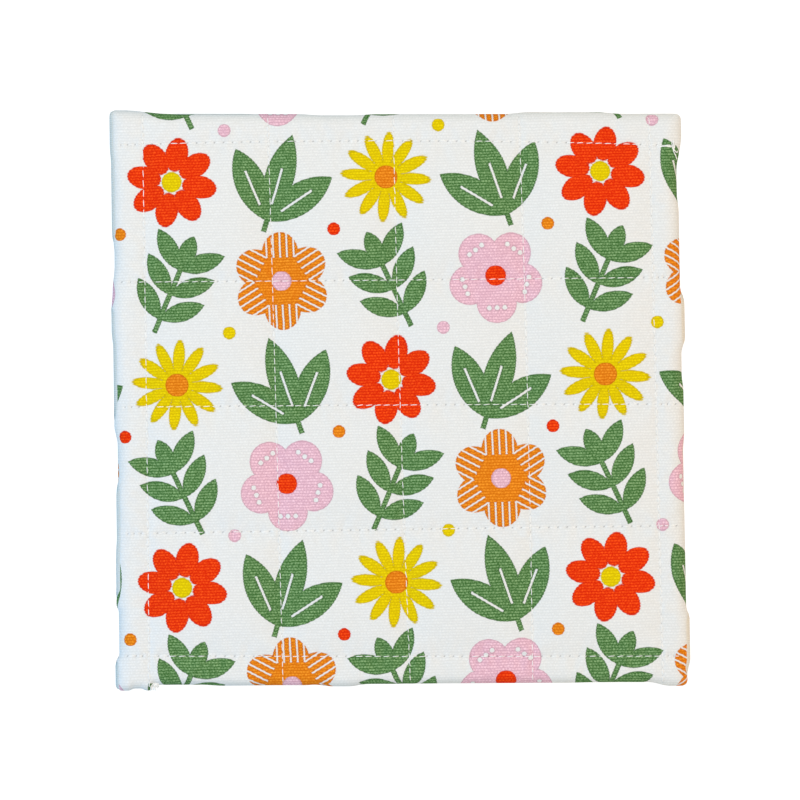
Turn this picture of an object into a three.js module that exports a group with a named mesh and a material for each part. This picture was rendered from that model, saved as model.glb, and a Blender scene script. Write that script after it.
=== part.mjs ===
// Square quilted pot holder. Two cotton panels with wadding between them are sewn face to face round
// the edge, turned, and quilted through by five lines each way. It lies face up, flat on its back.
// Millimetres, +Z up, +Y towards the top edge, origin on the floor under the middle of the pad.
import * as THREE from "three";

// Plan sizes
const PAD_SIDE = 200; // sewn square, edge to edge
const EDGE_MARGIN = 11; // from a side to the first line of quilting
const LINE_COUNT = 5; // lines of quilting each way
const CORNER_RADIUS = 2.2; // rounding of a turned corner in plan
const SPRING_RUN = 3.6; // distance from a stitch line in which the wadding springs back

// Heights above the floor
const CROWN_HEIGHT = 7.4; // front of a cell at its middle
const FRONT_LINE_HEIGHT = 5.1; // front of a quilted line
const SEAM_HEIGHT = 0.8; // edge seam
const BACK_LINE_HEIGHT = 1.7; // back of a quilted line
const FLOOR_PRESS = 0.7; // how far the floor presses the back of a cell flat

// Broad dome of a cell: its part of the swelling, and how much of it the narrow bands along the sides have.
const DOME_SHARE = 0.3;
const BAND_DOME = 0.8;
const BAND_FILL = 0.66; // wadding in a band, against a cell

// How each line of quilting departs from even spacing, from left to right and from bottom to top:
// its shift at the middle, and its lean and bow at the ends.
const UPRIGHT_LINES = [
  { shift: 0.2, lean: -1.1, bow: -0.2 },
  { shift: 1.0, lean: -2.4, bow: -0.1 },
  { shift: 0.1, lean: -2.7, bow: 0.5 },
  { shift: 0.3, lean: -2.2, bow: -0.5 },
  { shift: 0.8, lean: -2.2, bow: 0.0 },
];
const CROSS_LINES = [
  { shift: -1.0, lean: 0.0, bow: 0.1 },
  { shift: -1.0, lean: 1.3, bow: -0.1 },
  { shift: -1.9, lean: 0.5, bow: -0.2 },
  { shift: -2.6, lean: 0.8, bow: 0.1 },
  { shift: 1.7, lean: -0.1, bow: -1.3 },
];

// The turned sides depart from the square in the same way, and each is rolled over a strip of its own
// width. On a stretch of a side the edge bulges out as well, or is drawn in where out is less than 0.
const LEFT_SIDE = {
  shift: -0.5, lean: -1.1, bow: 0.0, outward: -1, rollWidth: 5.2,
  stretches: [
    { from: 82, to: 116, out: 0.4, ease: 8 },
    { from: 38, to: 60, out: -0.8, ease: 9 },
    { from: 18, to: 38, out: 0.5, ease: 6 },
    { from: -34, to: -9, out: -1.1, ease: 7 },
    { from: -56, to: -26, out: -0.4, ease: 8 },
    { from: -91, to: -72, out: -0.8, ease: 6 },
    { from: -104, to: -91, out: 0.6, ease: 4 },
  ],
};
const RIGHT_SIDE = {
  shift: -0.7, lean: -1.7, bow: 0.0, outward: 1, rollWidth: 5.0,
  stretches: [
    { from: 82, to: 116, out: 1.4, ease: 11 },
    { from: 66, to: 86, out: -0.5, ease: 6 },
    { from: 16, to: 40, out: 1.4, ease: 6 },
    { from: -18, to: 9, out: 0.5, ease: 6 },
    { from: -96, to: -72, out: 1.1, ease: 5 },
  ],
};
const BOTTOM_SIDE = {
  shift: 0.1, lean: 0.5, bow: 0.1, outward: -1, rollWidth: 3.6,
  stretches: [
    { from: -104, to: -83.5, out: 2.0, ease: 3 },
    { from: -70, to: -26, out: 0.4, ease: 8 },
    { from: -31, to: -11, out: 0.8, ease: 7 },
    { from: 87, to: 110, out: 1.4, ease: 8 },
  ],
};
const TOP_SIDE = {
  shift: 0.4, lean: 0.0, bow: 0.1, outward: 1, rollWidth: 4.4,
  stretches: [
    { from: -122, to: -82, out: 1.2, ease: 15 },
    { from: -36, to: -8, out: -0.4, ease: 9 },
    { from: 36, to: 78, out: 0.6, ease: 9 },
  ],
};

// Where the mesh has a row, as a share of a cell between two stitch lines, and of a band from its side in.
const CELL_SHARES = [0, 0.06, 0.17, 0.34, 0.5, 0.66, 0.83, 0.94];
const BAND_SHARES = [0, 0.05, 0.15, 0.3, 0.56, 0.83];
const SETTLE_STEPS = 6; // rounds in which the crossing of two bowed lines is found

const HALF_SIDE = PAD_SIDE / 2;
const LINE_REACH = HALF_SIDE - EDGE_MARGIN; // from the middle to the outer lines
const LINE_SPACING = (2 * LINE_REACH) / (LINE_COUNT - 1);
const LAST_BAND = LINE_COUNT;
const COLUMNS = evenlySpaced(LEFT_SIDE, UPRIGHT_LINES, RIGHT_SIDE);
const ROWS = evenlySpaced(BOTTOM_SIDE, CROSS_LINES, TOP_SIDE);

const printedCanvas = new THREE.MeshStandardMaterial({ color: 0xe9e8e4, roughness: 0.92, metalness: 0 });

// Two sides and the lines between them in one list, each with its even place.
function evenlySpaced(firstSide, lines, lastSide) {
  return [
    { ...firstSide, even: -HALF_SIDE },
    ...lines.map((line, i) => ({ ...line, even: i * LINE_SPACING - LINE_REACH })),
    { ...lastSide, even: HALF_SIDE },
  ];
}

// Outward move of a side on one of its stretches, which starts and ends softly.
function swell({ from, to, out, ease }, along) {
  const { smoothstep } = THREE.MathUtils;
  return out * smoothstep(along, from, from + ease) * smoothstep(-along, -to, ease - to);
}

// Place of a line or a side at a distance along it.
function placeOf({ even, shift, lean, bow, outward = 0, stretches = [] }, along) {
  const t = along / LINE_REACH;
  const moved = stretches.reduce((sum, stretch) => sum + swell(stretch, along), 0);
  return even + shift + lean * t + bow * t * t + outward * moved;
}

// Mesh stations across the pad: the band or cell that each lies in, and its share of that.
function stations() {
  const list = [];
  const lastBandShares = [0, ...BAND_SHARES.slice(1).map((share) => 1 - share).reverse()];
  for (let band = 0; band <= LAST_BAND; band++) {
    const shares = band === 0 ? BAND_SHARES : band === LAST_BAND ? lastBandShares : CELL_SHARES;
    shares.forEach((share) => list.push({ band, share }));
  }
  list.push({ band: LAST_BAND, share: 1 });
  return list;
}

// Where a station lies: its place, how far it is from the nearest side and from the nearest stitch line,
// how far it is up the roll of the sides and the broad dome of its cell, and how well the wadding fills it.
function across(lines, { band, share }, along) {
  const from = placeOf(lines[band], along);
  const to = placeOf(lines[band + 1], along);
  const place = from + share * (to - from);
  const [firstSide, lastSide] = [lines[0], lines[LAST_BAND + 1]];
  const toFirst = place - placeOf(firstSide, along);
  const toLast = placeOf(lastSide, along) - place;
  const edge = roll(toFirst, firstSide.rollWidth) * roll(toLast, lastSide.rollWidth);
  const spot = { place, toSide: Math.min(toFirst, toLast), edge };
  if (band === 0) return { ...spot, toStitch: to - place, dome: BAND_DOME, fill: BAND_FILL };
  if (band === LAST_BAND) return { ...spot, toStitch: place - from, dome: BAND_DOME, fill: BAND_FILL };
  const toStitch = Math.min(place - from, to - place);
  return { ...spot, toStitch, dome: 4 * share * (1 - share), fill: 1 };
}

// Swelling of the wadding beside a stitch line, and the rounding of the turned edge, from 0 to 1.
const spring = (toStitch) => 1 - Math.exp(-toStitch / SPRING_RUN);
const roll = (toSide, width) => (toSide >= width ? 1 : Math.sqrt(1 - (1 - toSide / width) ** 2));

// A turned corner: the square in which both sides are nearer than the radius is drawn into a quarter disc.
function roundCorner(acrossX, acrossY) {
  const inX = Math.max(0, 1 - acrossX.toSide / CORNER_RADIUS);
  const inY = Math.max(0, 1 - acrossY.toSide / CORNER_RADIUS);
  const drawX = CORNER_RADIUS * inX * (1 - Math.sqrt(1 - (inY * inY) / 2));
  const drawY = CORNER_RADIUS * inY * (1 - Math.sqrt(1 - (inX * inX) / 2));
  return {
    x: acrossX.place - Math.sign(acrossX.place) * drawX,
    y: acrossY.place - Math.sign(acrossY.place) * drawY,
  };
}

// Front and back point of the pad at a pair of stations.
function padPoints(column, row) {
  let acrossX = across(COLUMNS, column, 0);
  let acrossY = across(ROWS, row, acrossX.place);
  for (let step = 0; step < SETTLE_STEPS; step++) {
    acrossX = across(COLUMNS, column, acrossY.place);
    acrossY = across(ROWS, row, acrossX.place);
  }
  const { x, y } = roundCorner(acrossX, acrossY);
  const dome = 1 - DOME_SHARE + DOME_SHARE * acrossX.dome * acrossY.dome;
  const fill = acrossX.fill * acrossY.fill;
  const puff = fill * dome * spring(acrossX.toStitch) * spring(acrossY.toStitch);
  const edge = acrossX.edge * acrossY.edge;
  const frontAtFull = FRONT_LINE_HEIGHT + (CROWN_HEIGHT - FRONT_LINE_HEIGHT) * puff;
  const backAtFull = BACK_LINE_HEIGHT - (BACK_LINE_HEIGHT + FLOOR_PRESS) * puff;
  const front = SEAM_HEIGHT + edge * (frontAtFull - SEAM_HEIGHT);
  const back = Math.max(0, SEAM_HEIGHT + edge * (backAtFull - SEAM_HEIGHT));
  return { front: new THREE.Vector3(x, y, front), back: new THREE.Vector3(x, y, back) };
}

// Two triangles of a mesh cell, split along the diagonal that runs out from the middle of the pad.
function quad(sheet, i, j, rising) {
  const [a, b, c, d] = [sheet[j][i], sheet[j][i + 1], sheet[j + 1][i + 1], sheet[j + 1][i]];
  return rising ? [a, b, c, a, c, d] : [a, b, d, b, c, d];
}

// The filled pad: a front and a back sheet of points that share the row along the edge seam.
function quiltedPadGeometry() {
  const list = stations();
  const last = list.length - 1;
  const points = [];
  const front = [];
  const back = [];
  list.forEach((row, j) => {
    front.push([]);
    back.push([]);
    list.forEach((column, i) => {
      const pair = padPoints(column, row);
      const onSeam = i === 0 || j === 0 || i === last || j === last;
      front[j][i] = points.push(pair.front) - 1;
      back[j][i] = onSeam ? front[j][i] : points.push(pair.back) - 1;
    });
  });
  const faces = [];
  for (let j = 0; j < last; j++) {
    for (let i = 0; i < last; i++) {
      const rising = i < last / 2 === j < last / 2;
      faces.push(...quad(front, i, j, rising));
      faces.push(...quad(back, i, j, rising).reverse());
    }
  }
  const geometry = new THREE.BufferGeometry().setFromPoints(points);
  geometry.setIndex(faces);
  geometry.computeBoundingBox();
  const middle = geometry.boundingBox.getCenter(new THREE.Vector3());
  geometry.translate(-middle.x, -middle.y, 0);
  geometry.computeVertexNormals();
  return geometry;
}

const quiltedPad = new THREE.Mesh(quiltedPadGeometry(), printedCanvas);
quiltedPad.name = "quilted_pad";

const potHolder = new THREE.Group();
potHolder.add(quiltedPad);

export default potHolder;
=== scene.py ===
import math
from functools import partial

import bpy
import numpy as np
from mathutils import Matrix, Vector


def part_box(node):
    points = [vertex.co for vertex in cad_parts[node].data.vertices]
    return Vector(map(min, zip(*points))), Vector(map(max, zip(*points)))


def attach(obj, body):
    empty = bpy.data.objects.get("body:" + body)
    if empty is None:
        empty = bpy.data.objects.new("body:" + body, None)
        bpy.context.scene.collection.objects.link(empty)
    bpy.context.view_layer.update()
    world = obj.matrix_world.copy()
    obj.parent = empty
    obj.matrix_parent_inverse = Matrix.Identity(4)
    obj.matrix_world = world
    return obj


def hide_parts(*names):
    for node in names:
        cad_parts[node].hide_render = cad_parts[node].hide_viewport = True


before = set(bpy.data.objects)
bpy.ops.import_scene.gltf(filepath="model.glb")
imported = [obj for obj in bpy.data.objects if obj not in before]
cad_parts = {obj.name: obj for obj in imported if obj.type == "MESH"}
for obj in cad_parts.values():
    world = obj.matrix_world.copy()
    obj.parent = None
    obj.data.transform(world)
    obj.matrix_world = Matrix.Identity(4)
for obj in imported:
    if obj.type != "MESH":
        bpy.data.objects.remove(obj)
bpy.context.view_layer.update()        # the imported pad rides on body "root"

# Square quilted pot holder, face up and flat on its back, seen from straight above.
# Sizes are in millimetres and are turned into metres where a mesh is made.

mm = 0.001
tiny = 1e-9    # keeps a length off zero
seed = np.random.default_rng(20)


def smoothstep(value, low, high):
    share = np.clip((value - low) / (high - low), 0.0, 1.0)
    return share * share * (3.0 - 2.0 * share)


# camera

viewSetup = {
    "height": 1500.0,       # above the front of the pad
    "aim": (0.06, 0.14),    # what it looks straight down on
    "pictureWidth": 280.2,  # what the picture spans at the front of the pad
    "frontLevel": 6.0,      # of the front, above the floor
}


def addCamera():
    place = (*viewSetup["aim"], viewSetup["height"] + viewSetup["frontLevel"])
    bpy.ops.object.camera_add(location=[value * mm for value in place])
    camera = bpy.context.object
    camera.name = "overheadCamera"
    camera.data.lens = camera.data.sensor_width * viewSetup["height"] / viewSetup["pictureWidth"]
    bpy.context.scene.camera = camera
    print("camera: lens", round(camera.data.lens, 1))


# shape of the sewn pad

padShape = {
    "side": 200.0,         # sewn square, edge to edge
    "margin": 11.0,        # from a side to the first line of quilting
    "cornerRadius": 2.2,   # rounding of a turned corner in plan
    "springRun": 3.6,      # distance from a stitch line in which the wadding springs back
    "crown": 7.4,          # heights above the floor
    "frontLine": 5.1,
    "seam": 0.8,
    "backLine": 1.7,
    "floorPress": 0.7,     # how far the floor presses the back of a cell flat
    "domeShare": 0.3,      # part of the swelling that is the broad dome of a cell
    "bandDome": 0.8,       # what the narrow bands along the sides have of it
    "bandFill": 0.66,      # wadding in a band, against a cell
    "cellRows": 56,        # mesh rows: 14 stitches of 4 rows in a cell
    "bandRows": 10,
    "rollRows": 8,
    "stitchRows": 4,
    "settleRounds": 6,     # in which the crossing of two bowed lines is found
    "seamGroove": 0.06,    # how far the edge seam is drawn in
    "flatStretch": 0.92,   # cloth that lies in the roll, against a round one
}
halfSide = padShape["side"] / 2
lineReach = halfSide - padShape["margin"]

# Each line of quilting departs from even spacing by a shift, and by a lean and a bow at its ends.
uprightLines = [
    {"shift": 0.2, "lean": -1.1, "bow": -0.2},
    {"shift": 1.0, "lean": -2.4, "bow": -0.1},
    {"shift": 0.1, "lean": -2.7, "bow": 0.5},
    {"shift": 0.3, "lean": -2.2, "bow": -0.5},
    {"shift": 0.8, "lean": -2.2, "bow": 0.0},
]
crossLines = [
    {"shift": -1.0, "lean": 0.0, "bow": 0.1},
    {"shift": -1.0, "lean": 1.3, "bow": -0.1},
    {"shift": -1.9, "lean": 0.5, "bow": -0.2},
    {"shift": -2.6, "lean": 0.8, "bow": 0.1},
    {"shift": 1.7, "lean": -0.1, "bow": -1.3},
]

# A side is rolled over a strip of its own width. Each of its stretches says from where to where it bulges,
# how far out, less than 0 where it is drawn in, and over what length that comes and goes. Its peeks say the
# same of the back panel, which comes up over the edge there by degrees of the roll.
leftSide = {
    "shift": -0.5, "lean": -1.1, "bow": 0.0, "outward": -1, "roll": 5.2,
    "stretches": [
        (82, 116, 0.4, 8),
        (38, 60, -0.8, 9),
        (18, 38, 0.5, 6),
        (-34, -9, -1.1, 7),
        (-56, -26, -0.4, 8),
        (-92, -72, -0.8, 2.6),
        (-104, -90.5, 0.6, 2),
    ],
    "peeks": [
        (53, 108, 45, 6),
        (-10, 36, 43, 7),
        (-72, -27, 46, 6),
        (-108, -91, 41, 2),
    ],
}
rightSide = {
    "shift": -0.7, "lean": -1.7, "bow": 0.0, "outward": 1, "roll": 5.0,
    "stretches": [
        (82, 116, 1.4, 11),
        (66, 86, -0.5, 6),
        (16, 40, 1.4, 6),
        (-18, 9, 0.5, 6),
        (-96, -72, 1.1, 5),
    ],
    "peeks": [
        (17, 40, 43, 5),
        (-40, -8, 18, 8),
        (-99, -72, 44, 6),
    ],
}
bottomSide = {
    "shift": 0.1, "lean": 0.5, "bow": 0.1, "outward": -1, "roll": 3.6,
    "stretches": [
        (-104, -86.4, 2.0, 1.6),
        (-95.4, -88.6, -0.75, 2.4),
        (-70, -26, 0.4, 8),
        (-31, -11, 0.8, 7),
        (87, 110, 1.4, 8),
    ],
    "peeks": [
        (-60, -20, 10, 8),
        (60, 84, 15, 8),
    ],
}
topSide = {
    "shift": 0.4, "lean": 0.0, "bow": 0.1, "outward": 1, "roll": 4.4,
    "stretches": [
        (-122, -82, 1.2, 15),
        (-36, -8, -0.4, 9),
        (36, 78, 0.6, 9),
    ],
    "peeks": [
        (-86, -46, 22, 9),
        (-40, 30, 15, 9),
        (36, 60, 19, 8),
    ],
}


def inOrder(firstSide, lines, lastSide):
    spacing = 2 * lineReach / (len(lines) - 1)
    placed = [dict(line, even=i * spacing - lineReach) for i, line in enumerate(lines)]
    return [dict(firstSide, even=-halfSide)] + placed + [dict(lastSide, even=halfSide)]


def plateau(along, start, end, soft):
    return smoothstep(along, start, start + soft) * smoothstep(-along, -end, soft - end)


def placeOf(line, along):
    share = along / lineReach
    place = line["even"] + line["shift"] + line["lean"] * share + line["bow"] * share * share
    for start, end, out, soft in line.get("stretches", []):
        place = place + line["outward"] * out * plateau(along, start, end, soft)
    return place


def seamTurn(side, along):
    peeks = side["peeks"]
    return sum(math.radians(turn) * plateau(along, start, end, soft) for start, end, turn, soft in peeks)


def stationsAcross():
    lastBand = len(uprightLines)
    roll, band, cell = padShape["rollRows"], padShape["bandRows"], padShape["cellRows"]
    stations = [("roll", 0, k / roll) for k in range(roll)]
    stations += [("band", 0, k / band) for k in range(band)]
    for number in range(1, lastBand):
        stations += [("cell", number, k / cell) for k in range(cell)]
    stations += [("band", lastBand, 1 - k / band) for k in range(band)]
    stations += [("roll", lastBand, 1 - k / roll) for k in range(roll + 1)]
    return stations


def lineStations():
    first = padShape["rollRows"] + padShape["bandRows"]
    return [first + i * padShape["cellRows"] for i in range(len(uprightLines))]


# One direction of the grid: what holds at each station across, for each place along.
def spreadAcross(lines, stations, along, facing):
    names = ("place", "flat", "lift", "toStitch", "toSide", "dome", "fill")
    result = {name: np.zeros_like(along) for name in names}
    for i, (zone, band, share) in enumerate(stations):
        beside = along[:, i]
        firstSide, lastSide = placeOf(lines[0], beside), placeOf(lines[-1], beside)
        lift = np.full_like(beside, facing)
        if zone == "cell":
            start, end = placeOf(lines[band], beside), placeOf(lines[band + 1], beside)
            place = start + share * (end - start)
            flat = place
            toStitch = np.minimum(place - start, end - place)
            dome, fill = 4 * share * (1 - share), 1.0
        else:
            side, sidePlace, inward = (lines[0], firstSide, 1) if band == 0 else (lines[-1], lastSide, -1)
            stitch = placeOf(lines[1] if band == 0 else lines[-2], beside)
            radius = side["roll"]
            rollEnd = sidePlace + inward * radius
            place = rollEnd + share * (stitch - rollEnd)
            flat = place
            if zone == "roll":
                turn = seamTurn(side, beside)
                angle = turn + share * (facing * math.pi / 2 - turn)
                place = sidePlace + inward * radius * (1 - np.cos(angle))
                arc = radius * padShape["flatStretch"] * np.abs(facing * math.pi / 2 - angle)
                flat = rollEnd - inward * arc
                lift = np.sin(angle)
            toStitch = np.abs(stitch - place)
            dome, fill = padShape["bandDome"], padShape["bandFill"]
        toSide = np.minimum(place - firstSide, lastSide - place)
        for name, value in zip(names, (place, flat, lift, toStitch, toSide, dome, fill)):
            result[name][:, i] = value
    return result


def spring(toStitch):
    return 1 - np.exp(-toStitch / padShape["springRun"])


# Points of the front (facing 1) or the back (facing -1) of the pad, rows from bottom to top.
def sheetPoints(facing, fullness=1.0):
    columns = inOrder(leftSide, uprightLines, rightSide)
    rows = inOrder(bottomSide, crossLines, topSide)
    stations = stationsAcross()
    count = len(stations)
    y = np.zeros((count, count))
    for _ in range(padShape["settleRounds"]):
        byX = spreadAcross(columns, stations, y, facing)
        byY = spreadAcross(rows, stations, byX["place"].T, facing)
        byY = {name: value.T for name, value in byY.items()}
        y = byY["place"]
    x = byX["place"]
    radius = padShape["cornerRadius"]
    inX = np.maximum(0, 1 - byX["toSide"] / radius)
    inY = np.maximum(0, 1 - byY["toSide"] / radius)
    drawX = radius * inX * (1 - np.sqrt(1 - inY * inY / 2))
    drawY = radius * inY * (1 - np.sqrt(1 - inX * inX / 2))
    puff = 1 - padShape["domeShare"] + padShape["domeShare"] * byX["dome"] * byY["dome"]
    puff = puff * fullness * byX["fill"] * byY["fill"] * spring(byX["toStitch"]) * spring(byY["toStitch"])
    seam, lift = padShape["seam"], np.abs(byX["lift"] * byY["lift"])
    frontFull = padShape["frontLine"] + (padShape["crown"] - padShape["frontLine"]) * puff
    backFull = padShape["backLine"] - (padShape["backLine"] + padShape["floorPress"]) * puff
    over = seam + (frontFull - seam) * lift
    under = np.maximum(0, seam - (seam - backFull) * lift)
    z = np.where(np.maximum(byX["lift"], byY["lift"]) > 0, over, under)
    return {
        "points": np.stack([x - np.sign(x) * drawX, y - np.sign(y) * drawY, z], axis=-1),
        "flat": np.stack([byX["flat"], byY["flat"]], axis=-1),
        "toStitchX": byX["toStitch"], "toStitchY": byY["toStitch"], "lift": lift,
    }


def gridNormals(points):
    alongX, alongY = np.gradient(points, axis=1), np.gradient(points, axis=0)
    normals = np.cross(alongX, alongY)
    return normals / np.maximum(np.linalg.norm(normals, axis=-1, keepdims=True), tiny)


def ringMask(count, width=1):
    mask = np.ones((count, count), bool)
    mask[width:-width, width:-width] = False
    return mask


# wadding: the cloth solver swells the front between its sewn lines

waddingPress = {
    "every": 2,           # the solver takes every second row
    "enlarge": 10.0,      # and an enlarged copy, on which it is steadier
    "fullness": 0.6,      # how full the cells are before it
    "pressure": 4.0,
    "growth": 0.004,      # spare cloth, as a share of its length
    "stiffness": 40.0,
    "bending": 10.0,
    "quality": 6,
    "frames": 20,
    "mostMove": 1.5,      # of a point of the cloth
}


# Twice the rows, with the new ones on a smooth curve through the old ones.
def betweenRows(grid):
    before, after = 2 * grid[:1] - grid[1:2], 2 * grid[-1:] - grid[-2:-1]
    wide = np.concatenate([before, grid, after])
    result = np.empty((2 * len(grid) - 1, *grid.shape[1:]))
    result[::2] = grid
    result[1::2] = (9 * (wide[1:-2] + wide[2:-1]) - wide[:-3] - wide[3:]) / 16
    return result


def swellFront(front):
    press = waddingPress
    every, scale = press["every"], press["enlarge"] * mm
    start = front["points"][::every, ::every]
    count = len(start)
    bpy.ops.mesh.primitive_grid_add(x_subdivisions=count - 1, y_subdivisions=count - 1, size=1)
    cloth = bpy.context.object
    cloth.data.vertices.foreach_set("co", (start * scale).astype(np.float32).ravel())
    cloth.data.update()

    # the rolled edge and the lines of quilting are held
    held = ringMask(count, padShape["rollRows"] // every)
    lines = [station // every for station in lineStations()]
    held[lines, :] = True
    held[:, lines] = True
    sewn = cloth.vertex_groups.new(name="sewn")
    sewn.add(np.flatnonzero(held).tolist(), 1.0, "REPLACE")

    solver = cloth.modifiers.new("wadding", "CLOTH")
    solver.collision_settings.use_collision = False
    settings = solver.settings
    settings.quality = press["quality"]
    settings.vertex_group_mass = sewn.name
    settings.use_pressure = True
    settings.uniform_pressure_force = press["pressure"]
    settings.shrink_min = -press["growth"]
    settings.tension_stiffness = settings.compression_stiffness = press["stiffness"]
    settings.bending_stiffness = press["bending"]
    settings.effector_weights.gravity = 0
    for number in range(1, press["frames"] + 1):
        bpy.context.scene.frame_set(number)
    bpy.ops.object.modifier_apply(modifier=solver.name)
    end = np.empty(count * count * 3, np.float32)
    cloth.data.vertices.foreach_get("co", end)
    moved = end.reshape(count, count, 3) / scale - start
    bpy.context.scene.frame_set(1)
    bpy.data.objects.remove(cloth)

    reach = np.linalg.norm(moved, axis=-1, keepdims=True)
    moved = moved * np.minimum(1, press["mostMove"] / np.maximum(reach, tiny))
    finer = betweenRows(betweenRows(moved).transpose(1, 0, 2)).transpose(1, 0, 2)
    front["points"] = front["points"] + finer
    print("wadding: front moved by up to", round(float(reach.max()), 2), "mm")


# hand of the cloth: puckers, needle holes and waves

clothHand = {
    "holeDepth": 0.25,       # dimple where the needle went through
    "uprightHole": 0.78,     # of a hole on an upright line, in its dimple and its painted shade, where the ribs close round the thread
    "beadHeight": 0.06,      # cloth that stands up between two holes
    "beadReach": 1.5,
    "puckerHeight": 0.24,    # creases that run out from a stitch line
    "puckerReach": 4.2,
    "puckerStart": 0.9,
    "puckerSkew": 0.25,
    "puckerLengths": (5.0, 7.4, 10.6, 15.0),
    "puckerStretch": (0.85, 1.15),
    "puckersEach": 3,
    "waveHeight": 0.12,      # broad unevenness of the wadding
    "waveLengths": (13.0, 19.0, 27.0, 38.0),
    "wavesEach": 4,
}


def puckers(along, beside):
    lengths, each = clothHand["puckerLengths"], clothHand["puckersEach"]
    total = np.zeros_like(along)
    for length in lengths:
        for _ in range(each):
            phase, tilt = seed.uniform(0, 2 * math.pi), seed.normal(0, clothHand["puckerSkew"])
            stretched = length * seed.uniform(*clothHand["puckerStretch"])
            total += np.sin(2 * math.pi * (along + tilt * beside) / stretched + phase)
    return total / math.sqrt(each * len(lengths))


def waves(x, y):
    lengths, each = clothHand["waveLengths"], clothHand["wavesEach"]
    total = np.zeros_like(x)
    for length in lengths:
        for _ in range(each):
            heading, phase = seed.uniform(0, 2 * math.pi), seed.uniform(0, 2 * math.pi)
            total += np.sin(2 * math.pi * (x * math.cos(heading) + y * math.sin(heading)) / length + phase)
    return total / math.sqrt(each * len(lengths))


# Grid rows with a needle hole. The upright lines are half a stitch out of step with the cross lines.
def holeRows(upright):
    step, count = padShape["stitchRows"], len(stationsAcross())
    first = lineStations()[0] + (step // 2 if upright else 0)
    margin = padShape["rollRows"] // 2
    return [k for k in range(first % step, count, step) if margin <= k < count - margin]


def needleHoles():
    count = len(stationsAcross())
    holes = np.zeros((count, count))
    for station in lineStations():
        holes[holeRows(True), station] = clothHand["uprightHole"]
        holes[station, holeRows(False)] = 1
    return holes


def addHand(sheet):
    points, hand = sheet["points"], clothHand
    x, y = points[..., 0], points[..., 1]
    holes = needleHoles()
    height = hand["waveHeight"] * waves(x, y)
    height *= spring(sheet["toStitchX"]) * spring(sheet["toStitchY"])
    for beside, along in ((sheet["toStitchX"], y), (sheet["toStitchY"], x)):
        fade = np.exp(-beside / hand["puckerReach"]) * (1 - np.exp(-beside / hand["puckerStart"]))
        height += hand["puckerHeight"] * fade * puckers(along, beside)
    rows = np.arange(len(points))
    step = 2 * math.pi / padShape["stitchRows"]
    uprightBeads = -np.cos(step * (rows - holeRows(True)[0]))[:, None]
    crossBeads = -np.cos(step * (rows - holeRows(False)[0]))[None, :]
    height += hand["beadHeight"] * uprightBeads * np.exp(-(sheet["toStitchX"] / hand["beadReach"]) ** 2)
    height += hand["beadHeight"] * crossBeads * np.exp(-(sheet["toStitchY"] / hand["beadReach"]) ** 2)
    height -= hand["holeDepth"] * holes
    sheet["points"] = points + gridNormals(points) * (height * sheet["lift"])[..., None]
    sheet["holes"] = holes


# pad mesh: front and back sheets that share the ring of the edge seam

def drawSeamIn(front):
    points, paintedGrooveShade = front["points"], padShape["seamGroove"]
    points[:, 0, 0] += paintedGrooveShade
    points[:, -1, 0] -= paintedGrooveShade
    points[0, :, 1] += paintedGrooveShade
    points[-1, :, 1] -= paintedGrooveShade


def frontFaces(index):
    corners = (index[:-1, :-1], index[:-1, 1:], index[1:, 1:], index[1:, :-1])
    return np.stack(corners, axis=-1).reshape(-1, 4).tolist()


# The back has every second row of the front, so its outer faces take in the ring's odd points too.
def backFaces(back, ring):
    faces = []
    last = len(back) - 1
    for j in range(last):
        for i in range(last):
            face = [back[j, i]]
            if i == 0:
                face.append(ring[2 * j + 1, 0])
            face.append(back[j + 1, i])
            if j == last - 1:
                face.append(ring[-1, 2 * i + 1])
            face.append(back[j + 1, i + 1])
            if i == last - 1:
                face.append(ring[2 * j + 1, -1])
            face.append(back[j, i + 1])
            if j == 0:
                face.append(ring[0, 2 * i + 1])
            faces.append([int(k) for k in face])
    return faces


def addMesh(name, points, faces):
    mesh = bpy.data.meshes.new(name)
    mesh.from_pydata((np.asarray(points) * mm).tolist(), [], faces)
    piece = bpy.data.objects.new(name, mesh)
    bpy.context.collection.objects.link(piece)
    mesh.shade_smooth()
    return piece


def addPad():
    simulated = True
    front = sheetPoints(1, waddingPress["fullness"] if simulated else 1.0)
    back = sheetPoints(-1)
    print("pad: sheets of", len(front["points"]), "rows")
    if simulated:
        swellFront(front)
    addHand(front)
    drawSeamIn(front)

    # the back has every second row, and shares the ring of the seam with the front
    count = len(front["points"])
    frontIndex = np.arange(count * count).reshape(count, count)
    inner = ~ringMask(count // 2 + 1)
    backIndex = frontIndex[::2, ::2].copy()
    backIndex[inner] = count * count + np.arange(inner.sum())
    backPoints = back["points"][::2, ::2][inner]
    points = np.concatenate([front["points"].reshape(-1, 3), backPoints])

    # its middle lies where the CAD has it
    low, high = points.min(axis=0), points.max(axis=0)
    cadLow, cadHigh = (np.array(corner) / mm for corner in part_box("quilted_pad"))
    move = (cadLow + cadHigh - low - high) / 2
    move[2] = 0
    for moved in (points, front["points"], back["points"]):
        moved += move
    frontList, backList = frontFaces(frontIndex), backFaces(backIndex, frontIndex)
    pad = addMesh("quiltedPad", points, frontList + backList)

    # flat cloth places as a UV map, in millimetres
    frontFlat = front["flat"].reshape(-1, 2)
    backFlat = np.concatenate([back["flat"].reshape(-1, 2), back["flat"][::2, ::2][inner]])
    flat = np.concatenate([frontFlat[np.ravel(frontList)], backFlat[np.concatenate(backList)]])
    pad.data.uv_layers.new(name="flatCloth").data.foreach_set("uv", flat.astype(np.float32).ravel())
    holes = np.concatenate([front["holes"].ravel(), np.zeros(len(backPoints))])
    holeShare = pad.data.attributes.new("needleHole", "FLOAT", "POINT")
    holeShare.data.foreach_set("value", holes.astype(np.float32))
    slots = np.array([0] * len(frontList) + [1] * len(backList), np.int32)
    pad.data.polygons.foreach_set("material_index", slots)
    print("pad:", len(pad.data.polygons), "faces, crowns at", round(float(points[:, 2].max()), 2), "mm")
    return pad, front, back


# stitches

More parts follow.
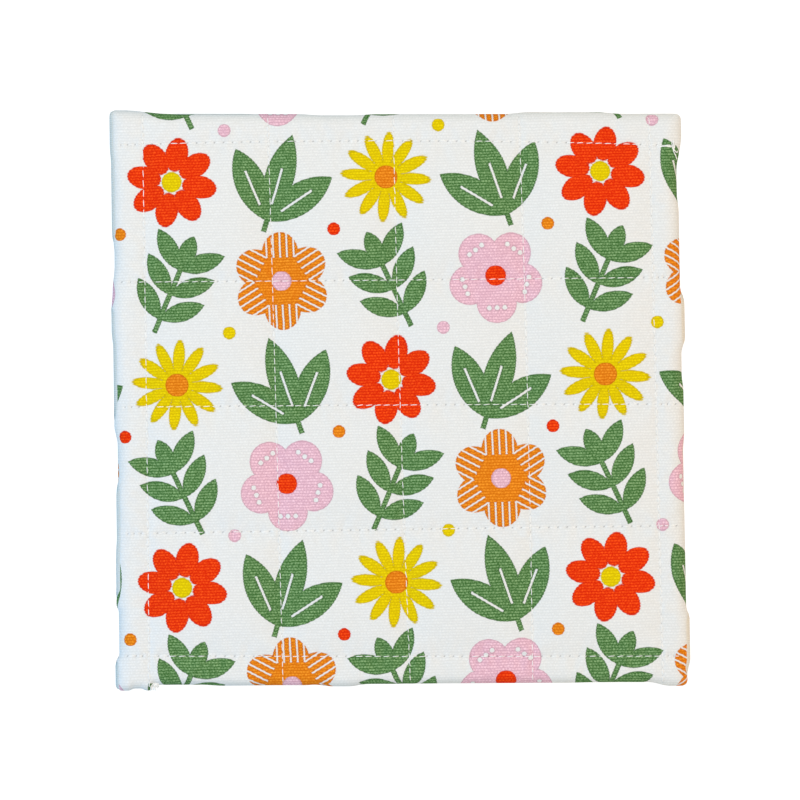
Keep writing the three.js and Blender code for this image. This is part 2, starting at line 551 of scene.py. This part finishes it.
threadShape = {
    "radius": 0.15,
    "flattening": 0.85,     # its height, against its width
    "sides": 6,
    "slant": 0.10,          # how far the two ends of a stitch lie to either side of the line
    "wander": 0.07,
    "endSink": 0.22,        # of its ends, into the cloth
    "crownLift": 0.16,      # of its middle, above the cloth
    "gap": 0.2,             # bare cloth between two stitches, as a share of their pitch
    "endWidth": 0.6,        # of a stitch where it goes into the cloth, against its middle
    "stations": (0.0, 0.07, 0.20, 0.50, 0.80, 0.93, 1.0),  # rings of a stitch, from end to end
}


# A row of points or normals at a share of the way between two holes.
def alongStitch(path, start, rows, share):
    place = start + share * rows
    low = int(place)
    part = place - low
    high = min(low + 1, len(path) - 1)
    return path[low] * (1 - part) + path[high] * part


# Rise of a stitch out of the cloth, from its ends to its middle.
def bowAt(share):
    return math.sqrt(max(0, math.sin(math.pi * share)))


def unit(vector):
    return vector / np.linalg.norm(vector)


# Rings of a thread along a path, for each point of it an upward direction and a half width.
def tubeRings(path, ups, widths):
    turns = 2 * math.pi * np.arange(threadShape["sides"]) / threadShape["sides"]
    rings = []
    for k, (centre, up, width) in enumerate(zip(path, ups, widths)):
        ahead = unit(path[min(k + 1, len(path) - 1)] - path[max(k - 1, 0)])
        side = unit(np.cross(up, ahead))
        high = np.cross(ahead, side) * threadShape["flattening"]
        rings += [centre + width * (side * math.cos(turn) + high * math.sin(turn)) for turn in turns]
    return rings


def stitchRings(path, normals, start, rows):
    thread = threadShape
    centres, ups, widths = [], [], []
    chord = unit(path[start + rows] - path[start])
    lean = thread["slant"] + seed.normal(0, thread["wander"])
    for part in thread["stations"]:
        share = thread["gap"] / 2 + (1 - thread["gap"]) * part
        up = unit(alongStitch(normals, start, rows, share))
        side = unit(np.cross(up, chord))
        bow = bowAt(part)
        lift = (thread["crownLift"] + thread["endSink"]) * bow - thread["endSink"]
        centres.append(alongStitch(path, start, rows, share) + up * lift + side * lean * (2 * share - 1))
        ups.append(up)
        widths.append(thread["radius"] * (thread["endWidth"] + (1 - thread["endWidth"]) * bow))
    return tubeRings(centres, ups, widths)


def tubeFaces(ringCount, sides, first):
    faces = []
    for ring in range(ringCount - 1):
        for k in range(sides):
            a = first + ring * sides + k
            b = first + ring * sides + (k + 1) % sides
            faces.append([a, b, b + sides, a + sides])
    faces.append([first + k for k in reversed(range(sides))])
    faces.append([first + (ringCount - 1) * sides + k for k in range(sides)])
    return faces


# Where the top line leaves the pad its thread is tied off. Plan points of each strand, and how high its
# middle stands.
tieOff = {
    "radius": 0.2,
    "strands": [
        {"points": ((90.3, 88.7), (92.8, 89.0), (95.8, 88.8)), "lift": 0.22},
        {"points": ((90.6, 89.1), (93.2, 89.3), (95.9, 89.1)), "lift": 0.25},
        {"points": ((95.4, 91.5), (95.3, 89.9), (95.7, 87.9)), "lift": 0.30},
        {"points": ((95.9, 91.3), (95.8, 89.8), (95.9, 87.8)), "lift": 0.42},
        {"points": ((96.2, 91.1), (96.3, 89.6), (96.1, 88.0)), "lift": 0.30},
        {"points": ((95.8, 88.4), (96.0, 87.1), (96.5, 86.0), (96.9, 85.1), (97.3, 84.6)), "lift": 0.24},
        {"points": ((96.0, 88.2), (96.5, 87.3), (97.1, 87.0), (97.5, 87.6)), "lift": 0.30},
    ],
}

# At the lower left corner the raw ends of a few yarns show at the end of the folded edge.
frayedCorner = {
    "from": (-87.6, -99.4, 3.6),
    "to": (-84.7, -98.8, 3.4),
    "yarns": 11,
    "radius": 0.19,
    "length": 2.5,
    "lengthShares": (0.65, 1.1),
    "spread": 0.3,
    "droop": 0.5,
    "middle": {"lean": 0.4, "reach": 0.55, "droop": (0.2, 0.6)},    # shares of what the tip has
    "tipDroop": (0.8, 2.0),
}


# Smooth curve through a few points.
def curveThrough(points, steps=4):
    ends = [2 * points[0] - points[1], *points, 2 * points[-1] - points[-2]]
    curve = []
    for a, b, c, d in zip(ends, ends[1:], ends[2:], ends[3:]):
        for t in np.arange(steps) / steps:
            cubic = (3 * b - a - 3 * c + d) * t ** 3 + (2 * a - 5 * b + 4 * c - d) * t ** 2
            curve.append((cubic + (c - a) * t + 2 * b) / 2)
    return [*curve, points[-1]]


def tieOffTubes(front):
    tubes = []
    normals = gridNormals(front["points"])
    for strand in tieOff["strands"]:
        path, ups = [], []
        plan = curveThrough([np.array(point) for point in strand["points"]])
        for k, place in enumerate(plan):
            distance = np.hypot(front["points"][..., 0] - place[0], front["points"][..., 1] - place[1])
            nearest = np.unravel_index(np.argmin(distance), distance.shape)
            rise = (strand["lift"] + threadShape["endSink"]) * bowAt(k / (len(plan) - 1))
            lift = rise - threadShape["endSink"]
            path.append(np.array((*place, front["points"][nearest][2])) + normals[nearest] * lift)
            ups.append(normals[nearest])
        tubes.append(tubeRings(path, ups, [tieOff["radius"]] * len(path)))
    return tubes


def frayTubes():
    fray, middle, tubes = frayedCorner, frayedCorner["middle"], []
    start, end = np.array(fray["from"]), np.array(fray["to"])
    upward = np.array((0.0, 0.0, 1.0))
    for share in np.linspace(0, 1, fray["yarns"]):
        foot = start + share * (end - start)
        reach = fray["length"] * seed.uniform(*fray["lengthShares"])
        lean, curl = seed.normal(0, fray["spread"], 2)
        sink = fray["droop"] * seed.uniform(*middle["droop"])
        tipSink = fray["droop"] * seed.uniform(*fray["tipDroop"])
        halfway = foot + np.array((lean * middle["lean"], -reach * middle["reach"], -sink))
        tip = foot + np.array((lean + curl, -reach, -tipSink))
        path = curveThrough([foot, halfway, tip])
        tubes.append(tubeRings(path, [upward] * len(path), [fray["radius"]] * len(path)))
    return tubes


def lineTubes(front, back):
    tubes = []
    for sheet, facing in ((front, 1), (back, -1)):
        normals = gridNormals(sheet["points"]) * facing
        for station in lineStations():
            for upright in (True, False):
                path = sheet["points"][:, station] if upright else sheet["points"][station]
                ups = normals[:, station] if upright else normals[station]
                starts = holeRows(upright)[:-1]
                tubes += [stitchRings(path, ups, start, padShape["stitchRows"]) for start in starts]
    return tubes


def addStitches(front, back):
    points, faces = [], []
    sides = threadShape["sides"]
    for rings in lineTubes(front, back) + tieOffTubes(front) + frayTubes():
        faces += tubeFaces(len(rings) // sides, sides, len(points))
        points += rings
    stitches = addMesh("quiltingStitches", points, faces)
    print("stitches:", len(stitches.data.polygons), "faces")
    return stitches


# node helpers: a socket knows its own node tree

def addNode(tree, kind, **settings):
    node = tree.nodes.new(kind)
    for name, value in settings.items():
        setattr(node, name, value)
    return node


def isSocket(value):
    return isinstance(value, bpy.types.NodeSocket)


def treeOf(*values):
    return next(value for value in values if isSocket(value)).id_data


def feed(socket, value):
    if isSocket(value):
        socket.id_data.links.new(value, socket)
    else:
        socket.default_value = value


def calc(operation, *values):
    node = addNode(treeOf(*values), "ShaderNodeMath", operation=operation)
    for socket, value in zip(node.inputs, values):
        feed(socket, value)
    return node.outputs[0]


plus, minus, times, ratio = (partial(calc, kind) for kind in ("ADD", "SUBTRACT", "MULTIPLY", "DIVIDE"))
most, size, power = (partial(calc, kind) for kind in ("MAXIMUM", "ABSOLUTE", "POWER"))


def least(first, *others):
    for value in others:
        first = calc("MINIMUM", first, value)
    return first


def hypot(a, b):
    return calc("SQRT", plus(times(a, a), times(b, b)))


# Distance from the nearest multiple of a pitch.
def wrapped(a, pitch):
    return minus(a, times(calc("ROUND", ratio(a, pitch)), pitch))


def ease(value, low, high, start=0.0, end=1.0):
    node = addNode(treeOf(value), "ShaderNodeMapRange", interpolation_type="SMOOTHSTEP")
    given = {"Value": value, "From Min": low, "From Max": high, "To Min": start, "To Max": end}
    for name, setting in given.items():
        feed(node.inputs[name], setting)
    return node.outputs["Result"]


# The colour sockets of a mix node come after those for values and vectors.
def mixColour(share, under, over):
    node = addNode(treeOf(share, under, over), "ShaderNodeMix", data_type="RGBA")
    for socket, value in ((node.inputs[0], share), (node.inputs[6], under), (node.inputs[7], over)):
        feed(socket, value)
    return node.outputs[2]


def speckle(place, scale, detail=2.0):
    node = addNode(treeOf(place), "ShaderNodeTexNoise")
    feed(node.inputs["Vector"], place)
    node.inputs["Scale"].default_value = scale
    node.inputs["Detail"].default_value = detail
    return node.outputs["Fac"]


def joinPlace(across, up):
    node = addNode(treeOf(across, up), "ShaderNodeCombineXYZ")
    feed(node.inputs[0], across)
    feed(node.inputs[1], up)
    return node.outputs[0]


def splitPlace(place):
    node = addNode(treeOf(place), "ShaderNodeSeparateXYZ")
    feed(node.inputs[0], place)
    return node.outputs


def newGroup(name, inputs, outputs):
    tree = bpy.data.node_groups.new(name, "ShaderNodeTree")
    for socketName, given in inputs.items():
        kind = "NodeSocketVector" if given is None else "NodeSocketFloat"
        socket = tree.interface.new_socket(name=socketName, in_out="INPUT", socket_type=kind)
        if given is not None:
            socket.default_value = given
    for socketName in outputs:
        tree.interface.new_socket(name=socketName, in_out="OUTPUT", socket_type="NodeSocketFloat")
    return tree, addNode(tree, "NodeGroupInput").outputs, addNode(tree, "NodeGroupOutput").inputs


def useGroup(group, **values):
    node = addNode(treeOf(*values.values()), "ShaderNodeGroup", node_tree=bpy.data.node_groups[group])
    for name, value in values.items():
        feed(node.inputs[name], value)
    return node.outputs


# Ribbed cloth. Tone runs from painted shade in the groove between two ribs to painted highlight on the
# stretches of yarn on them, varied at random by thick and thin yarn and by fibres.
# Where there are four numbers, a range of noise is eased into a range of values.
ribbedCloth = {
    "canvas": {"ribPitch": 1.0, "yarnPitch": 1.15, "uneven": 0.5, "grain": 0.6},
    "driftScale": 0.22,          # slow waver of the ribs
    "rowStep": 0.5,              # a row of yarns against the next, in yarns
    "rowRandom": 0.3,
    "slubScales": (0.8, 5.7),    # thick and thin yarn, along a rib and from rib to rib
    "height": {"power": 0.7, "least": 0.45, "yarn": 0.3, "slub": 0.5},
    # the tone's painted shade and painted highlight follow the round of the ribs and the yarns
    "tone": {"power": 1.3, "least": 0.35, "yarn": 0.65, "slub": (0.36, 0.66, 0.5, 1.1)},
    "fibres": {"scale": 2.3, "detail": 3.0, "tone": (0.3, 0.7, -0.5, 0.5)},
}


def makeWeaveGroup():
    cloth = ribbedCloth
    height, tone, fibres = cloth["height"], cloth["tone"], cloth["fibres"]
    tree, given, result = newGroup("clothWeave", {"place": None, **cloth["canvas"]}, ("height", "tone"))
    across, up, _ = splitPlace(given["place"])
    drift = times(minus(speckle(given["place"], cloth["driftScale"]), 0.5), given["uneven"])
    ribs = ratio(plus(up, drift), given["ribPitch"])
    row = calc("FLOOR", ribs)
    ribRound = calc("SINE", times(calc("FRACT", ribs), math.pi))
    rowRandom = addNode(tree, "ShaderNodeTexWhiteNoise", noise_dimensions="1D")
    feed(rowRandom.inputs["W"], row)
    yarns = plus(ratio(plus(across, drift), given["yarnPitch"]), times(row, cloth["rowStep"]))
    yarns = plus(yarns, times(rowRandom.outputs["Value"], cloth["rowRandom"]))
    yarnRound = calc("SINE", times(calc("FRACT", yarns), math.pi))
    alongRib, fromRib = cloth["slubScales"]
    slub = speckle(joinPlace(times(across, alongRib), times(row, fromRib)), 1.0)
    fullness = plus(times(yarnRound, height["yarn"]), plus(times(slub, height["slub"]), height["least"]))
    feed(result["height"], times(power(ribRound, height["power"]), fullness))
    # painted highlight along the yarns and painted shade between them, with random slubs and fibres
    paintedHighlight = times(ease(slub, *tone["slub"]), plus(times(yarnRound, tone["yarn"]), tone["least"]))
    fuzz = ease(speckle(given["place"], fibres["scale"], fibres["detail"]), *fibres["tone"])
    paintedHighlight = times(power(ribRound, tone["power"]), paintedHighlight)
    feed(result["tone"], plus(paintedHighlight, times(fuzz, given["grain"])))


# A motif repeated in rows, each row shifted against the last. Side alternates between 1 and -1.
def makeRepeatGroup():
    _, given, result = newGroup(
        "shiftedRepeat",
        {"across": 0.0, "up": 0.0, "pitchAcross": 80.0, "pitchUp": 66.0, "rowShift": 0.0},
        ("across", "up", "side"),
    )
    row = calc("ROUND", ratio(given["up"], given["pitchUp"]))
    shifted = minus(given["across"], times(row, given["rowShift"]))
    column = calc("ROUND", ratio(shifted, given["pitchAcross"]))
    feed(result["across"], minus(shifted, times(column, given["pitchAcross"])))
    feed(result["up"], minus(given["up"], times(row, given["pitchUp"])))
    parity = calc("FLOORED_MODULO", plus(row, column), 2.0)
    feed(result["side"], plus(times(parity, -2.0), 1.0))


# A ring of oval petals round a point: distance outside the petals, and the place in one petal.
def makePetalGroup():
    _, given, result = newGroup(
        "petalRing",
        {"across": 0.0, "up": 0.0, "petals": 6.0, "turn": 0.0,
         "reach": 9.0, "halfLength": 6.0, "halfWidth": 4.0},
        ("distance", "along", "aside"),
    )
    radius = hypot(given["across"], given["up"])
    angle = plus(calc("ARCTAN2", given["up"], given["across"]), given["turn"])
    folded = wrapped(angle, ratio(2 * math.pi, given["petals"]))
    along = minus(times(radius, calc("COSINE", folded)), given["reach"])
    aside = times(radius, calc("SINE", folded))
    oval = hypot(ratio(along, given["halfLength"]), ratio(aside, given["halfWidth"]))
    feed(result["distance"], times(minus(oval, 1.0), given["halfWidth"]))
    feed(result["along"], along)
    feed(result["aside"], aside)


# A pointed leaf that grows from a point: distance outside it, and the place along and beside its midrib.
def makeLeafGroup():
    _, given, result = newGroup(
        "pointedLeaf",
        {"across": 0.0, "up": 0.0, "turn": 0.0, "length": 12.0, "halfWidth": 2.5},
        ("distance", "along", "aside"),
    )
    sine, cosine = calc("SINE", given["turn"]), calc("COSINE", given["turn"])
    half, wide = times(given["length"], 0.5), given["halfWidth"]
    along = plus(times(given["across"], sine), times(given["up"], cosine))
    aside = minus(times(given["across"], cosine), times(given["up"], sine))
    arc = ratio(plus(times(half, half), times(wide, wide)), times(wide, 2.0))
    offset = plus(size(aside), minus(arc, wide))
    feed(result["distance"], minus(hypot(minus(along, half), offset), arc))
    feed(result["along"], along)
    feed(result["aside"], aside)


def newMaterial(name):
    material = bpy.data.materials.new(name)
    material.use_nodes = True
    tree = material.node_tree
    return material, tree, tree.nodes["Principled BSDF"]


def addBump(shader, height, distance, strength):
    bump = addNode(treeOf(height), "ShaderNodeBump")
    bump.inputs["Strength"].default_value = strength
    bump.inputs["Distance"].default_value = distance * mm
    feed(bump.inputs["Height"], height)
    feed(shader.inputs["Normal"], bump.outputs["Normal"])


# Roughness in the grooves of a cloth and what its lit yarns add to that, and its relief.
def finishCloth(shader, weave, look):
    grooves, added = look["roughness"]
    feed(shader.inputs["Roughness"], plus(times(weave["tone"], added), grooves))
    shader.inputs["Specular IOR Level"].default_value = look["specular"]
    addBump(shader, weave["height"], *look["relief"])


# Colour of a shader from one as a screen shows it.
def linear(red, green, blue):
    values = [channel / 255 for channel in (red, green, blue)]
    spread = [v / 12.92 if v <= 0.04045 else ((v + 0.055) / 1.055) ** 2.4 for v in values]
    return (*spread, 1.0)


# printed canvas of the front

floralPrint = {
    "turn": 1.5,                # degrees that the print lies askew on the pad
    "centre": (-3.0, 7.0),
    "columnPitch": 37.5,
    "rowPitch": 71.0,
    "inkSoft": 0.16,            # edge of the ink, and how far the yarns fray it
    "inkRough": 0.22,
    "roughScale": 1.6,
    "rimWidth": 0.35,           # denser ink along the edge of a motif
    "rimShade": 0.5,
    "rimDark": 0.15,
    "inks": {                   # each in painted shade in the grooves of the weave, and in painted highlight on its lit yarns
        "cloth": (linear(226, 227, 226), linear(240, 241, 240)),
        "green": (linear(58, 104, 48), linear(142, 180, 124)),
        "red": (linear(220, 36, 0), linear(255, 86, 24)),
        "orange": (linear(216, 112, 6), linear(252, 160, 44)),
        "yellow": (linear(214, 186, 0), linear(246, 222, 10)),
        "pink": (linear(216, 168, 186), linear(254, 214, 226)),
    },
    "daisy": {"petals": 8.0, "turn": 0.2, "reach": 9.8, "halfLength": 6.0, "halfWidth": 4.0},
    "daisyEye": 3.5,
    "blossom": {"petals": 5.0, "turn": 0.3, "reach": 9.6, "halfLength": 7.1, "halfWidth": 7.0},
    "blossomEye": 3.6,
    "blossomDots": {"pitch": 2.7, "radius": 0.85, "along": 1.8, "reach": 4.0},
    "star": {"petals": 12.0, "turn": 0.1, "reach": 9.6, "halfLength": 6.2, "halfWidth": 2.1},
    "starBody": 5.6,
    "starEye": 4.0,
    "aster": {"petals": 6.0, "turn": 0.5, "reach": 9.8, "halfLength": 7.3, "halfWidth": 6.4},
    "asterEye": 3.4,
    "asterStripes": {"pitch": 2.4, "halfWidth": 0.32, "from": -1.5},
    "sprig": {"tilt": 24, "feet": (-13.5, -4.2, 5.1), "turn": 50, "length": 16.4, "halfWidth": 3.3},
    "sprigTop": {"foot": 6.0, "turn": 0, "length": 12.0, "halfWidth": 3.1},
    "sprigStem": {"from": -18.5, "to": 8.0, "halfWidth": 0.9},
    "fan": {"tilt": -18, "foot": -15.0, "turn": 40, "length": 27.4, "halfWidth": 5.4},
    "fanMiddle": {"turn": 0, "length": 31.4, "halfWidth": 5.2},
    "fanStem": {"from": -19.0, "to": -12.0, "halfWidth": 0.9},
    "midrib": {"from": 6.0, "to": 19.0, "halfWidth": 0.42},
    "dotRadius": 2.2,
    # Needle holes are painted dark: how dark the painted shade in a hole is, and its colour.
    "paintedHoleShade": (0.45, 0.85, 0.0, 0.4),
    "paintedHoleShadeColour": linear(96, 98, 102),
    "roughness": (0.80, 0.12),
    "specular": 0.06,
    "relief": (0.07, 0.6),      # height and strength
}


def disc(a, b, radius):
    return minus(hypot(a, b), radius)


def bar(a, b, shape):
    middle, reach = (shape["from"] + shape["to"]) / 2, (shape["to"] - shape["from"]) / 2
    ends = minus(size(minus(b, middle)), reach)
    return most(ends, minus(size(a), shape["halfWidth"]))


def without(shape, hole):
    return most(shape, times(hole, -1.0))


def tilted(spot, degrees):
    sine, cosine = times(spot["side"], math.sin(math.radians(degrees))), math.cos(math.radians(degrees))
    a = plus(times(spot["across"], cosine), times(spot["up"], sine))
    return a, minus(times(spot["up"], cosine), times(spot["across"], sine))


def leafAt(a, b, shape):
    outline = {name: shape[name] for name in ("length", "halfWidth")}
    return useGroup("pointedLeaf", across=a, up=b, turn=math.radians(shape["turn"]), **outline)


# Stem with paired leaves and one on top.
def drawSprig(spot):
    shape, top = floralPrint["sprig"], floralPrint["sprigTop"]
    a, b = tilted(spot, shape["tilt"])
    leaves = [leafAt(size(a), minus(b, foot), shape) for foot in shape["feet"]]
    leaves.append(leafAt(a, minus(b, top["foot"]), top))
    stem = bar(a, b, floralPrint["sprigStem"])
    return [("green", least(stem, *[leaf["distance"] for leaf in leaves]))]


# Three broad leaves from one foot, with bare midribs.
def drawFan(spot):
    shape = floralPrint["fan"]
    a, b = tilted(spot, shape["tilt"])
    up = minus(b, shape["foot"])
    leaves = [leafAt(size(a), up, shape), leafAt(a, up, floralPrint["fanMiddle"])]
    stem = bar(a, b, floralPrint["fanStem"])
    green = least(stem, *[leaf["distance"] for leaf in leaves])
    ribs = least(*[bar(leaf["aside"], leaf["along"], floralPrint["midrib"]) for leaf in leaves])
    return [("green", without(green, ribs))]


def petalsOf(name, spot):
    return useGroup("petalRing", across=spot["across"], up=spot["up"], **floralPrint[name])


def eyeOf(name, spot):
    return disc(spot["across"], spot["up"], floralPrint[name])


def drawDaisy(spot):
    return [("red", petalsOf("daisy", spot)["distance"]), ("yellow", eyeOf("daisyEye", spot))]


# Blossom with a short row of bare dots on each petal.
def drawBlossom(spot):
    petals, dots = petalsOf("blossom", spot), floralPrint["blossomDots"]
    along = minus(petals["along"], dots["along"])
    row = disc(wrapped(petals["aside"], dots["pitch"]), along, dots["radius"])
    row = most(row, minus(size(petals["aside"]), dots["reach"]))
    return [("pink", without(petals["distance"], row)), ("red", eyeOf("blossomEye", spot))]


def drawStar(spot):
    petals = petalsOf("star", spot)["distance"]
    return [("yellow", least(petals, eyeOf("starBody", spot))), ("orange", eyeOf("starEye", spot))]


# Flower with bare stripes along its petals.
def drawAster(spot):
    petals, stripes = petalsOf("aster", spot), floralPrint["asterStripes"]
    bare = minus(size(wrapped(petals["aside"], stripes["pitch"])), stripes["halfWidth"])
    bare = most(bare, minus(stripes["from"], petals["along"]))
    return [("orange", without(petals["distance"], bare)), ("pink", eyeOf("asterEye", spot))]


def printMotifs(across, up):
    column, row = floralPrint["columnPitch"], floralPrint["rowPitch"]

    def repeat(right, high, pitchAcross, rowShift):
        place = {"across": minus(across, right), "up": minus(up, high)}
        return useGroup("shiftedRepeat", **place, pitchAcross=pitchAcross, pitchUp=row, rowShift=rowShift)

    layers = drawSprig(repeat(0, row / 2, 2 * column, 0))
    layers += drawFan(repeat(column, 0, 2 * column, 0))
    for number, draw in enumerate((drawDaisy, drawBlossom, drawStar, drawAster)):
        layers += draw(repeat(number * column, (number % 2) * row / 2, 4 * column, 2 * column))
    for number, ink in enumerate(("pink", "orange", "yellow", "red")):
        spot = repeat((number + 0.5) * column, (number % 2 + 0.5) * row / 2, 4 * column, 2 * column)
        layers.append((ink, eyeOf("dotRadius", spot)))
    return layers


def makePrintedCanvas():
    look = floralPrint
    material, tree, shader = newMaterial("printedCanvas")
    turned = addNode(tree, "ShaderNodeMapping", vector_type="TEXTURE")
    feed(turned.inputs["Vector"], addNode(tree, "ShaderNodeUVMap", uv_map="flatCloth").outputs["UV"])
    turned.inputs["Rotation"].default_value = (0, 0, math.radians(look["turn"]))
    turned.inputs["Location"].default_value = (*look["centre"], 0)
    place = turned.outputs[0]
    weave = useGroup("clothWeave", place=place)
    across, up, _ = splitPlace(place)

    # the edge of a motif follows the yarns, and its ink is denser there
    wobble = times(minus(speckle(place, look["roughScale"]), weave["height"]), look["inkRough"])
    soft, wide = look["inkSoft"], look["rimWidth"]
    # The cloth's and each ink's colours come in pairs: painted shade in the grooves of the weave, and
    # painted highlight on its yarns.
    paintedGrooveShade, paintedHighlight = look["inks"]["cloth"]
    rim = 0.0
    for ink, distance in printMotifs(across, up):
        rough = plus(distance, wobble)
        covered = ease(rough, -soft, soft, 1.0, 0.0)
        core = ease(rough, -soft - wide, soft - wide, 1.0, 0.0)
        rim = plus(times(rim, minus(1.0, covered)), minus(covered, core))
        paintedGrooveShade = mixColour(covered, paintedGrooveShade, look["inks"][ink][0])
        paintedHighlight = mixColour(covered, paintedHighlight, look["inks"][ink][1])
    tone = times(weave["tone"], minus(1.0, times(rim, look["rimShade"])))
    colour = mixColour(times(rim, look["rimDark"]), mixColour(tone, paintedGrooveShade, paintedHighlight), linear(0, 0, 0))
    # needle holes get painted shade in their colour, beside their real dimple in the mesh
    hole = addNode(tree, "ShaderNodeAttribute", attribute_name="needleHole").outputs["Fac"]
    colour = mixColour(ease(hole, *look["paintedHoleShade"]), colour, look["paintedHoleShadeColour"])
    feed(shader.inputs["Base Color"], colour)
    finishCloth(shader, weave, look)
    return material


# plain off-white cotton of the back

backingLook = {
    # The first two colours are painted shade in the grooves of the weave and painted highlight on its
    # yarns; the slub colour is the yarn's own tone.
    "paintedGrooveShade": linear(226, 223, 215),
    "paintedHighlight": linear(244, 242, 236),
    "slub": linear(220, 213, 199),
    "slubScale": 0.9,
    "slubDetail": 3.0,
    "slubShade": (0.62, 0.72, 0.0, 0.25),
    "ribPitch": 0.7,
    "yarnPitch": 0.75,
    "roughness": (0.84, 0.1),
    "specular": 0.2,
    "relief": (0.1, 0.6),
}


def makeBackingCotton():
    look = backingLook
    material, tree, shader = newMaterial("backingCotton")
    place = addNode(tree, "ShaderNodeUVMap", uv_map="flatCloth").outputs["UV"]
    weave = useGroup("clothWeave", place=place, ribPitch=look["ribPitch"], yarnPitch=look["yarnPitch"])
    colour = mixColour(weave["tone"], look["paintedGrooveShade"], look["paintedHighlight"])
    slubs = ease(speckle(place, look["slubScale"], look["slubDetail"]), *look["slubShade"])
    feed(shader.inputs["Base Color"], mixColour(slubs, colour, look["slub"]))
    finishCloth(shader, weave, look)
    return material


# white sewing thread

threadLook = {
    "shades": (linear(244, 244, 242), linear(254, 254, 252)),
    "fibreScale": 2600.0,       # to the metre
    "roughness": (0.5, 0.2),
    "relief": (0.05, 0.5),
}


def makeWhiteThread():
    look = threadLook
    material, tree, shader = newMaterial("whiteThread")
    tone = speckle(addNode(tree, "ShaderNodeTexCoord").outputs["Object"], look["fibreScale"])
    feed(shader.inputs["Base Color"], mixColour(tone, *look["shades"]))
    hollows, added = look["roughness"]
    feed(shader.inputs["Roughness"], plus(times(tone, added), hollows))
    addBump(shader, tone, *look["relief"])
    return material


# floor and light, in metres

studio = {
    "floorSize": 4.0,
    "floorDrop": 0.00008,                   # below the pad, so that its flat back stays clear of it
    "floorRoughness": 0.9,
    "bounceTones": ((0.24, 0.44, 0.57, 1.0), (0.84, 0.74, 0.58, 1.0)),  # cast up left and right
    "bounceBlend": 0.12,                    # to either side of where they meet
    "bounceWaver": {"scale": 3.0, "reach": 0.1},
    "paper": (0.28, 0.28, 0.28, 1.0),       # what the camera sees is white paper that glows a little
    "paperGlow": (0.92, 0.92, 0.92, 1.0),
    "coolSky": (0.16, 0.66, 1.02, 1.0),     # low on the left
    "warmSky": (1.20, 1.00, 0.75, 1.0),     # low on the right
    "highSky": (1.018, 1.00, 0.96, 1.0),
    "highFrom": 0.6,
    "horizonStrength": 0.63,
    "bottomSky": 0.08,                      # added towards the bottom edge, and taken off at the top
    "zenithStrength": 0.845,
    "panels": [
        {"name": "topPanel", "place": (-0.3, 0.5, 1.15), "size": 1.0,
         "power": 5.2, "colour": (1.0, 1.0, 1.0)},
        {"name": "coolPanel", "place": (-0.38, -0.16, 0.18), "size": 0.3,
         "power": 0.29, "colour": (0.02, 0.42, 1.0)},
        {"name": "warmPanel", "place": (0.40, -0.02, 0.16), "size": 0.3,
         "power": 0.15, "colour": (1.0, 0.5, 0.12)},
    ],
}


def addFloor():
    bpy.ops.mesh.primitive_plane_add(size=studio["floorSize"], location=(0, 0, -studio["floorDrop"]))
    bpy.ops.object.transform_apply(location=True, rotation=False, scale=False)
    floor = bpy.context.object
    floor.name = "paleFloor"
    material, tree, shader = newMaterial("paleFloor")
    place = addNode(tree, "ShaderNodeTexCoord").outputs["Object"]
    waver, blend = studio["bounceWaver"], studio["bounceBlend"]
    across = plus(splitPlace(place)[0], times(minus(speckle(place, waver["scale"]), 0.5), waver["reach"]))
    bounce = mixColour(ease(across, -blend, blend), *studio["bounceTones"])
    seen = addNode(tree, "ShaderNodeLightPath").outputs["Is Camera Ray"]
    feed(shader.inputs["Base Color"], mixColour(seen, bounce, studio["paper"]))
    shader.inputs["Roughness"].default_value = studio["floorRoughness"]
    shader.inputs["Emission Color"].default_value = studio["paperGlow"]
    feed(shader.inputs["Emission Strength"], seen)
    floor.data.materials.append(material)
    print("floor:", studio["floorSize"], "m square")


def addLight():
    world = bpy.data.worlds.new("softRoom")
    bpy.context.scene.world = world
    world.use_nodes = True
    tree = world.node_tree
    across, along, up = splitPlace(addNode(tree, "ShaderNodeTexCoord").outputs["Generated"])
    background = tree.nodes["Background"]
    lowSky = mixColour(ease(across, -1.0, 1.0), studio["coolSky"], studio["warmSky"])
    colour = mixColour(ease(up, 0.0, studio["highFrom"]), lowSky, studio["highSky"])
    feed(background.inputs["Color"], colour)
    strength = ease(up, 0.0, 1.0, studio["horizonStrength"], studio["zenithStrength"])
    feed(background.inputs["Strength"], minus(strength, times(along, studio["bottomSky"])))
    for panel in studio["panels"]:
        bpy.ops.object.light_add(type="AREA", location=panel["place"])
        lamp = bpy.context.object
        lamp.name = panel["name"]
        lamp.data.size = panel["size"]
        lamp.data.energy = panel["power"]
        lamp.data.color = panel["colour"]
        lamp.visible_camera = False
        lamp.rotation_euler = (-lamp.location).to_track_quat("-Z", "Y").to_euler()
    bpy.context.scene.view_settings.view_transform = "Standard"
    print("light:", len(studio["panels"]), "panels and the sky")


bpy.ops.object.select_all(action="DESELECT")    # the CAD comes in selected
addCamera()
pad, frontSheet, backSheet = addPad()
stitches = addStitches(frontSheet, backSheet)
for makeGroup in (makeWeaveGroup, makeRepeatGroup, makePetalGroup, makeLeafGroup):
    makeGroup()
pad.data.materials.append(makePrintedCanvas())
pad.data.materials.append(makeBackingCotton())
stitches.data.materials.append(makeWhiteThread())
print("looks: printed canvas, backing cotton and white thread")
addFloor()
addLight()

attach(pad, "root")
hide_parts("quilted_pad")
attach(stitches, "root")
